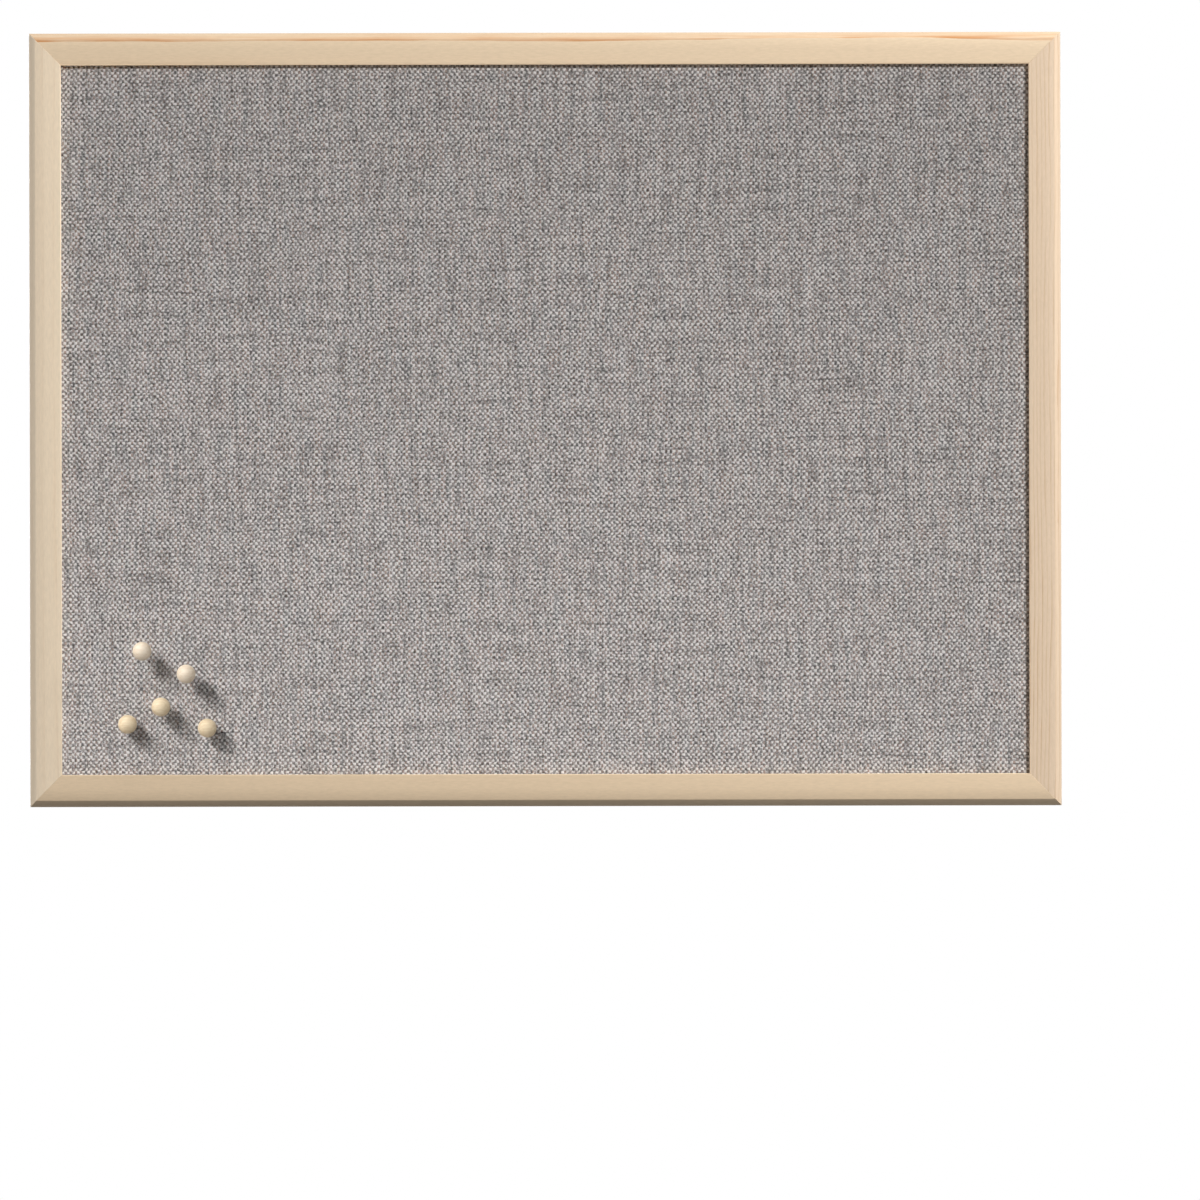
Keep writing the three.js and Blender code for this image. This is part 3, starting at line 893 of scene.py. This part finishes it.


# %% [markdown]
# ## Pine
# The moulding is planed and sanded pine under a thin clear matt lacquer. Pine is pale cream. Each
# year ring darkens slowly to an orange line of late wood and then starts pale again, so the tone
# is a high power of the part of the year. Rings are cylinders round the heart of the tree, so the
# year is the distance from a heart line outside the moulding, wavering with noise. Along the grain
# the late wood comes and goes in patches and streaks, and short fibres speckle all of it. Real
# fibres are too fine to show, so they are drawn 0.9 mm wide. Each side of the frame was cut from
# another place, so each has its own heart line, ring width and tone.
# The left side's pale is also set lighter, as painted light for the weaker lamp light there.

# %% Pine finish
def pine(name, along, heart, ring, late_part, pale, late):
    """Planed pine with its grain along one axis. The heart line's place and the ring are in mm."""
    material, tree, shader = new_finish(name, Roughness=0.55, IOR=1.45, Specular_IOR_Level=0.35)
    across = (0, 1, 1) if along == "X" else (1, 1, 0)
    places = add(tree, "TexCoord", output="Object")
    drawn_out = [max(share, 0.06) for share in across]
    lengthways = add(tree, "VectorMath", [places, drawn_out], operation="MULTIPLY")
    from_heart = add(tree, "VectorMath", [places, [v * MM for v in heart]], operation="SUBTRACT")
    outwards = add(tree, "VectorMath", [from_heart, across], operation="MULTIPLY")
    radius = add(tree, "VectorMath", [outwards], "Value", operation="LENGTH")
    waver = add(tree, "TexNoise", {"Vector": lengthways, "Scale": per(10), "Detail": 4.0})
    wavered = add(tree, "Math", [waver, 8.0 * MM, radius], operation="MULTIPLY_ADD")
    years = add(tree, "Math", [wavered, per(ring)], operation="MULTIPLY")
    year = add(tree, "Math", [years], operation="FRACT")
    late_tone = add(tree, "Math", [year, 6.0], operation="POWER")
    patches = add(tree, "TexNoise", {"Vector": lengthways, "Scale": per(38.5), "Detail": 2.0})
    uneven = add(tree, "MapRange", [patches, 0.3, 0.7, 0.3 * late_part, late_part])
    streaks = add(tree, "TexNoise", {"Vector": lengthways, "Scale": per(3.03), "Detail": 2.0})
    streaked = add(tree, "MapRange", [streaks, 0.35, 0.65, 0.4, 1.5])
    lateness = add(tree, "Math", [late_tone, uneven], operation="MULTIPLY")
    lateness = add(tree, "Math", [lateness, streaked], operation="MULTIPLY")
    woods = {"Factor": lateness, "A": linear(pale), "B": linear(late)}
    wood = add(tree, "Mix", woods, **MIX_COLOURS)
    drawn_out = [max(share, 0.2) for share in across]
    fibre_places = add(tree, "VectorMath", [places, drawn_out], operation="MULTIPLY")
    fineness = {"Vector": fibre_places, "Scale": per(0.909), "Detail": 4.0, "Roughness": 0.65}
    fibre = add(tree, "TexNoise", fineness)
    fibre_tone = add(tree, "MapRange", [fibre, 0.25, 0.75, 0.93, 1.06])
    cloud_tone = add(tree, "MapRange", [patches, 0.3, 0.7, 0.97, 1.03])
    tone = add(tree, "Math", [fibre_tone, cloud_tone], operation="MULTIPLY")
    toned = add(tree, "VectorMath", {"Vector": wood, "Scale": tone}, operation="SCALE")
    relief = add(tree, "Bump", {"Height": fibre, "Strength": 0.12, "Distance": 0.05 * MM})
    give(shader, Base_Color=toned, Normal=relief)
    return material


# %% Put the pine on the four sides
pine_sides = {
    "top_rail": ("X", (0, -10, 274.8), 20.0, 0.95, "cfb99c", "b58050"),
    "bottom_rail": ("X", (0, 40, -249.5), 14.0, 0.12, "d3bc9e", "bd9467"),
    "left_stile": ("Z", (-367.5, -10, 0), 6.8, 0.28, "e3d0b6", "c2986b"),
    # The left side's lighter pale is painted light for the weaker lamp light on that side.
    "right_stile": ("Z", (377.5, -20, 0), 2.6, 0.95, "cbb59c", "a9835e"),
}
for node, settings in pine_sides.items():
    cover(pine("planed_pine_" + node, *settings), frame_sides[node])

# %% [markdown]
# ## Woven cloth
# The cloth is a coarse plain weave with two kinds of yarn: the level weft is light grey, and the
# upright warp is darker, grey in some stretches and brown in others. Each passes over and under
# the other in turn, so light and dark show as a fine chequer. Two sine waves give that: one is
# zero at each gap between warp yarns and one at each gap between weft yarns. Their product says
# which yarn is on top, and together they give each yarn's round back. From that the tone gets
# painted shade, darker down in the gaps between yarns and lighter on their backs. Four noises,
# drawn out along the yarns or not at all, make the tone change as unevenly spun yarn does, and two
# more let the yarns wander a little. The warp is spaced at 1.53 mm and the weft at 1.71 mm.

# %% Cloth finish
def woven_cloth(name, warp_spacing, weft_spacing, light_yarn, grey_yarn, brown_yarn):
    """Plain weave in two kinds of yarn. The spacings are in mm."""
    material, tree, shader = new_finish(
        name, Roughness=0.95, IOR=1.45, Specular_IOR_Level=0.2, Sheen_Weight=0.05
    )
    cut = add(tree, "UVMap", uv_map="flat_cut")
    yarns_per_metre = (per(warp_spacing), per(weft_spacing), 0)
    yarns = add(tree, "VectorMath", [cut, yarns_per_metre], operation="MULTIPLY")
    for size, amount in ((60, 2.2), (3.5, 0.6)):
        drift = {"Vector": cut, "Scale": per(size), "Detail": 1.0}
        wander = add(tree, "TexNoise", drift, "Color", noise_dimensions="2D")
        shift = [wander, (amount, amount, 0), yarns]
        yarns = add(tree, "VectorMath", shift, operation="MULTIPLY_ADD")
    angle = add(tree, "VectorMath", [yarns, (math.pi, math.pi, 0)], operation="MULTIPLY")
    waves = add(tree, "VectorMath", [angle], operation="SINE")
    backs = add(tree, "VectorMath", [waves], operation="ABSOLUTE")
    wave = add(tree, "SeparateXYZ", [waves]).node.outputs
    back = add(tree, "SeparateXYZ", [backs]).node.outputs
    over = add(tree, "Math", [wave["X"], wave["Y"]], operation="MULTIPLY")
    weft_back = add(tree, "Math", [back["Y"], 0.5, over], operation="MULTIPLY_ADD")
    under = add(tree, "Math", [over, -1.0], operation="MULTIPLY")
    warp_back = add(tree, "Math", [back["X"], 0.5, under], operation="MULTIPLY_ADD")
    height = add(tree, "Math", [weft_back, warp_back], operation="MAXIMUM")
    lead = add(tree, "Math", [weft_back, warp_back], operation="SUBTRACT")
    weft_shows = add(tree, "MapRange", [lead, -0.95, 0.6], interpolation_type="SMOOTHSTEP")
    stretches = add(tree, "VectorMath", [yarns, (0.6, 0.07, 0)], operation="MULTIPLY")
    blend = add(tree, "TexNoise", {"Vector": stretches, "Scale": 1.0}, noise_dimensions="2D")
    brownness = add(tree, "MapRange", [blend, 0.3, 0.7])
    warps = {"Factor": brownness, "A": linear(grey_yarn), "B": linear(brown_yarn)}
    dark_yarn = add(tree, "Mix", warps, **MIX_COLOURS)
    yarns_shown = {"Factor": weft_shows, "A": dark_yarn, "B": linear(light_yarn)}
    yarn_colour = add(tree, "Mix", yarns_shown, **MIX_COLOURS)
    # Painted shade: the tone is darker in the gaps between yarns and lighter on their round backs.
    tone = add(tree, "MapRange", [height, 0.0, 1.1, 0.66, 1.13])
    for drawn_out, amount in (
        ((1.1, 1.1, 0), 2.8),
        ((0.24, 0.2, 0), 0.6),
        ((0.03, 0.9, 0), 0.72),
        ((0.9, 0.03, 0), 0.84),
    ):
        along_yarn = add(tree, "VectorMath", [yarns, drawn_out], operation="MULTIPLY")
        unevenness = {"Vector": along_yarn, "Scale": 1.0, "Detail": 1.5}
        uneven = add(tree, "TexNoise", unevenness, noise_dimensions="2D")
        most = [uneven, 0, 1, 1 - amount / 2, 1 + amount / 2]
        spun = add(tree, "MapRange", most, clamp=False)
        tone = add(tree, "Math", [tone, spun], operation="MULTIPLY")
    tone = add(tree, "Math", [tone, 1.27, 0.4], operation="SMOOTH_MIN")
    tone = add(tree, "Math", [tone, 0.28, 0.15], operation="SMOOTH_MAX")
    # The colour takes both the painted shade and the uneven yarn tone.
    shaded = add(tree, "VectorMath", {"Vector": yarn_colour, "Scale": tone}, operation="SCALE")
    relief = add(tree, "Bump", {"Height": height, "Strength": 0.5, "Distance": 0.25 * MM})
    give(shader, Base_Color=shaded, Normal=relief)
    return material


yarn_colours = ("bdbab8", "7a7776", "8d7c74")
cover(woven_cloth("two_tone_plain_weave", 1.53, 1.71, *yarn_colours), cloth)

# %% [markdown]
# ## Softboard and hardboard
# Softboard is wood fibre felted with air in it: tan, matt and finely lumpy. Hardboard is the same
# fibre pressed hard and hot, which turns it brown. It is pressed on a wire screen, and the screen
# leaves a small regular pattern of dents on the back.

# %% Board finishes
def fibre_board(name, dark, light, grain, screen=None):
    """Felted or pressed wood fibre. The grain and the screen's mesh are in mm."""
    material, tree, shader = new_finish(name, Roughness=0.85, Specular_IOR_Level=0.25)
    places = add(tree, "TexCoord", output="Object")
    lumps = add(tree, "TexNoise", {"Vector": places, "Scale": per(grain), "Detail": 5.0})
    patches = add(tree, "TexNoise", {"Vector": places, "Scale": per(83.3), "Detail": 3.0})
    part = add(tree, "Math", [patches, 0.25], operation="MULTIPLY")
    mixed = add(tree, "Math", [lumps, 0.75, part], operation="MULTIPLY_ADD")
    lightness = add(tree, "MapRange", [mixed, 0.35, 0.65])
    fibres = {"Factor": lightness, "A": linear(dark), "B": linear(light)}
    colour = add(tree, "Mix", fibres, **MIX_COLOURS)
    height = lumps
    if screen:
        wires = {"Vector": places, "Scale": math.tau * per(screen)}
        angle = add(tree, "VectorMath", wires, operation="SCALE")
        waves = add(tree, "VectorMath", [angle], operation="SINE")
        wave = add(tree, "SeparateXYZ", [waves]).node.outputs
        dents = add(tree, "Math", [wave["X"], wave["Z"]], operation="MULTIPLY")
        height = add(tree, "Math", [dents, 0.5, lumps], operation="MULTIPLY_ADD")
    relief = add(tree, "Bump", {"Height": height, "Strength": 0.5, "Distance": 0.2 * MM})
    give(shader, Base_Color=colour, Normal=relief)
    return material


cover(fibre_board("pressed_softboard", "9c8058", "c9b088", 1.2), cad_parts["pinning_core"])
cover(fibre_board("screen_backed_hardboard", "6b4a30", "94704c", 0.7, screen=1.6), backing)

# %% [markdown]
# ## Metals and rubber
# The straps and screws are bright zinc plate, which is slightly blue and cloudy. The rings are
# nickel-plated wire, warmer and shinier. Nails and points are oiled dark spring steel, and the
# needles are bright drawn steel. The bumpers are matt black rubber.

# %% Metal and rubber finishes
def cloudy(name, dark, light, speck, gloss, dent, **constants):
    """A finish whose colour, gloss and level vary over specks of a size in mm."""
    material, tree, shader = new_finish(name, **constants)
    places = add(tree, "TexCoord", output="Object")
    cloud = add(tree, "TexNoise", {"Vector": places, "Scale": per(speck), "Detail": 4.0})
    share = add(tree, "MapRange", [cloud, 0.3, 0.7])
    shades = {"Factor": share, "A": linear(dark), "B": linear(light)}
    colour = add(tree, "Mix", shades, **MIX_COLOURS)
    roughness = add(tree, "MapRange", [share, 0, 1, *gloss])
    relief = add(tree, "Bump", {"Height": cloud, "Strength": 0.2, "Distance": dent * MM})
    give(shader, Base_Color=colour, Roughness=roughness, Normal=relief)
    return material


zinc = cloudy("bright_zinc_plate", "a9adb3", "c6c9cc", 1.5, (0.26, 0.4), 0.01, Metallic=1.0)
nickel = cloudy("nickel_plated_wire", "bfb9ae", "d6d1c8", 2.0, (0.15, 0.25), 0.01, Metallic=1.0)
spring_steel = cloudy(
    "oiled_spring_steel", "34363a", "4a4c4e", 1.0, (0.32, 0.52), 0.01, Metallic=1.0
)
needle_steel = cloudy(
    "drawn_needle_steel", "c2c4c8", "dadcde", 0.6, (0.12, 0.2), 0.005, Metallic=1.0
)
rubber = cloudy(
    "moulded_rubber", "1d1d1d", "2e2e2e", 0.4, (0.7, 0.8), 0.03, Specular_IOR_Level=0.3
)
cover(zinc, *straps, *screws.values())
cover(nickel, *rings)
cover(spring_steel, *nails.values(), *points.values())
cover(needle_steel, *needles)
cover(rubber, *bumpers)

# %% [markdown]
# ## Ball wood
# The pins' balls are turned from a close-grained pale wood and tumbled with a little wax, so they
# have a soft sheen and fine short fibres, which are drawn 1.1 mm wide, or they wouldn't show. Two
# of the balls are cream and three are yellower.

# %% Ball finish
def turned_wood(name, dark, light):
    material, tree, shader = new_finish(name, Roughness=0.42, IOR=1.45, Specular_IOR_Level=0.4)
    places = add(tree, "TexCoord", output="Object")
    grain = {"Vector": places, "Rotation": (0.5, 0.3, 0.9), "Scale": (0.12, 1, 1)}
    lengthways = add(tree, "Mapping", grain)
    fineness = {"Vector": lengthways, "Scale": per(1.111), "Detail": 4.0, "Roughness": 0.6}
    fibre = add(tree, "TexNoise", fineness)
    share = add(tree, "MapRange", [fibre, 0.3, 0.7])
    shades = {"Factor": share, "A": linear(dark), "B": linear(light)}
    colour = add(tree, "Mix", shades, **MIX_COLOURS)
    relief = add(tree, "Bump", {"Height": fibre, "Strength": 0.1, "Distance": 0.04 * MM})
    give(shader, Base_Color=colour, Normal=relief)
    return material


cream_wood = turned_wood("waxed_turned_wood", "e2ccb0", "f6e8d4")
yellow_wood = turned_wood("waxed_turned_wood_yellower", "dfc69f", "f3e1c2")
cover(cream_wood, *balls[:2])
cover(yellow_wood, *balls[2:])

# %% [markdown]
# ## Floor, camera and light
# The board hangs, so the floor is well below it and only catches its soft shadow. To the camera
# and to reflections it is pale; for light that bounces back up to the object it is a dark grey,
# as the lower side of the frame in the picture gets almost no light from below.

# %% Lay the floor
floor_size, floor_level = 3200 * MM, -850 * MM
plane = bpy.ops.mesh.primitive_plane_add
floor_plate = start("floor", plane, size=floor_size, location=(0, 0, floor_level))
leave_all()
floor_material, floor_tree, floor_shader = new_finish("pale_floor", Roughness=0.8)
rays = add(floor_tree, "LightPath").node.outputs
seen = add(floor_tree, "Math", [rays["Is Camera Ray"], rays["Is Glossy Ray"]], operation="MAXIMUM")
greys = {"Factor": seen, "A": linear("5a5a5a"), "B": linear("f4f4f4")}
floor_colour = add(floor_tree, "Mix", greys, **MIX_COLOURS)
give(floor_shader, Base_Color=floor_colour)
cover(floor_material, floor_plate)

# %% [markdown]
# The picture was taken straight on with a long lens. The camera looks along +y with no tilt, so
# the board's outline keeps its right angles, and it stands a little to the right of and below the
# board's middle, which puts the board where it is in the frame.

# %% Set up the camera
distance = 3600 * MM
picture_width = 697.15 * MM
to_the_right, below = 31.6 * MM, 105.1 * MM
roll = math.radians(0.11)
camera_data = bpy.data.cameras.new("camera")
camera_data.sensor_width = 36
camera_data.lens = 36 * distance / picture_width
camera_data.clip_end = 50
camera = bpy.data.objects.new("camera", camera_data)
camera.location = (to_the_right, frame_front - distance, -below)
camera.rotation_euler = (math.pi / 2, roll, 0)
bpy.context.scene.collection.objects.link(camera)
bpy.context.scene.camera = camera
print("lens", round(camera_data.lens, 1), "mm")

# %% [markdown]
# The light is that of a product studio. A large soft lamp hangs up on the right in front, and
# three more graze the board from the right, the left and above, so that the bevels and the eased
# edges catch the light. Strengths are set so that a surface renders about as its colour is
# written: a strength of 1 lights a white card that faces the lamp to full white. A near lamp is
# stronger on the side that it hangs on, so the first two give the frame its slow change of tone.
# One more, from the lower left, lights the inner edges of the top and right sides, and one lights
# the back.

# %% Hang the lamps
def lamp(name, kind, towards, strength, spread, distance=1.0, at=(0, 0, 0), aim=None):
    """A lamp in a direction from the board. spread is how wide it looks from there, in degrees."""
    data = bpy.data.lights.new(name, kind)
    away = Vector(towards).normalized()
    made = bpy.data.objects.new(name, data)
    made.location = Vector(at) + away * distance
    made.rotation_mode = "QUATERNION"
    made.rotation_quaternion = away.to_track_quat("Z", "Y")
    if aim:
        made.rotation_quaternion = (made.location - Vector(aim)).to_track_quat("Z", "Y")
    if kind == "SUN":
        data.energy = strength * math.pi
        data.angle = math.radians(spread)
    else:
        data.energy = strength * (math.tau * distance) ** 2
        data.shadow_soft_size = distance * math.tan(math.radians(spread / 2))
    bpy.context.scene.collection.objects.link(made)
    print(name, "of strength", strength)
    return made


key_lamp = lamp("key_lamp", "POINT", (0.427, -0.776, 0.465), 0.74, 16, distance=3.2)
grazing_lamps = [
    lamp("right_grazing_lamp", "POINT", (0.97, -0.24, 0.5), 0.74, 20, distance=2.5),
    lamp("left_grazing_lamp", "SUN", (-0.97, -0.22, 0.1), 0.45, 20),
    lamp("top_grazing_lamp", "SUN", (0, -0.22, 0.975), 0.32, 20),
]
edge_lamp = lamp("edge_lamp", "SUN", (-0.45, -0.04, -0.88), 0.9, 10)
lamp("back_lamp", "SUN", (-0.35, 0.8, 0.15), 0.77, 20)

# %% [markdown]
# The cloth and the pins have lamps of their own, as they were lit for themselves in the picture.
# The cloth's lamp hangs a little below the key lamp and is aimed low, which makes the cloth
# lighter towards the bottom. The pins are lit softly from the upper left, with a wide lamp in
# front that fills their dark sides, and they throw soft, drawn-out shadows to the lower right.
# Only the shadows are wanted there and no brighter patch. So each of the two spot lamps that throw
# them has a twin of the same negative strength that nothing blocks, and together they only take
# light away behind the pins. Light linking says what a lamp lights (its receivers) and what stops
# its light (its blockers), or what is left out of these.

# %% Light the cloth and the pins
cloth_lamp = lamp(
    "cloth_lamp", "SPOT", (0.427, -0.776, 0.33), 2.1, 16, distance=8.0, aim=(-0.461, 0, -1.074)
)
cloth_lamp.data.spot_size = math.radians(24)
cloth_lamp.data.spot_blend = 1.0
pins_middle = sum(pin_places.values(), Vector()) / len(pin_places)
pins_lamps = [
    lamp("pins_lamp", "SUN", (-0.6, -0.5, 0.62), 0.77, 70),
    lamp("pins_fill_lamp", "SUN", (-0.35, -1, -0.05), 0.54, 150),
]
shadow_lamps = []
shadow_twins = []
for name, towards, strength in (
    ("long_shadow", (-0.612, -0.5, 0.612), 1.05),
    ("short_shadow", (-0.5, -0.7, 0.5), 0.4),
):
    for made, ending, sign in ((shadow_lamps, "lamp", 1), (shadow_twins, "twin", -1)):
        spot = lamp(f"{name}_{ending}", "SPOT", towards, sign * strength, 15, at=pins_middle)
        spot.data.spot_size = math.radians(34)
        spot.data.spot_blend = 0.6
        spot.data.use_shadow = sign > 0
        made.append(spot)

# %% Say what each lamp lights
pins = [*balls, *needles]
for lamps, which, pieces, state in (
    ([key_lamp, *grazing_lamps], "receiver", [cloth, *pins], "EXCLUDE"),
    ([edge_lamp], "receiver", [frame_sides["top_rail"], frame_sides["right_stile"]], "INCLUDE"),
    ([edge_lamp], "blocker", [cloth], "INCLUDE"),
    ([cloth_lamp], "receiver", [cloth], "INCLUDE"),
    ([cloth_lamp], "blocker", pins, "EXCLUDE"),
    (pins_lamps, "receiver", pins, "INCLUDE"),
    ([*shadow_lamps, *shadow_twins], "receiver", [cloth], "INCLUDE"),
    (shadow_lamps, "blocker", pins, "INCLUDE"),
):
    for light in lamps:
        group = bpy.data.collections.new(f"{light.name}_{which}")
        for piece in pieces:
            group.objects.link(piece)
        for entry in group.collection_objects:
            entry.light_linking.link_state = state
        setattr(light.light_linking, f"{which}_collection", group)
        print(f"{group.name}: {state.lower()}, pieces: {len(pieces)}")

# %% [markdown]
# The room gives a little soft light of its own, more from above than from below. What the camera
# and reflections show of it is plain white, and doesn't light the board.

# %% Light the room
light_below, light_above = 0.06, 0.14
world = bpy.data.worlds.new("studio")
bpy.context.scene.world = world
world.use_nodes = True
sky = world.node_tree
rays = add(sky, "LightPath").node.outputs
seen = add(sky, "Math", [rays["Is Camera Ray"], rays["Is Glossy Ray"]], operation="MAXIMUM")
seen = add(sky, "Math", [seen, rays["Is Transmission Ray"]], operation="MAXIMUM")
upwards = add(sky, "SeparateXYZ", [add(sky, "TexCoord", output="Generated")], "Z")
ambient = add(sky, "MapRange", [upwards, -0.3, 0.3, light_below, light_above])
level = add(sky, "Mix", {"Factor": seen, "A": ambient, "B": 1.0}, "Result", data_type="FLOAT")
backdrop = sky.nodes["Background"]
backdrop.inputs["Color"].default_value = linear("ffffff")
sky.links.new(level, backdrop.inputs["Strength"])
bpy.context.scene.view_settings.view_transform = "Standard"
print("the room's light:", light_below, "to", light_above)

# %% [markdown]
# ## Count the pieces
# The pieces that were made and finished are counted.

# %% Count the pieces
print("pieces made:", len(finished))
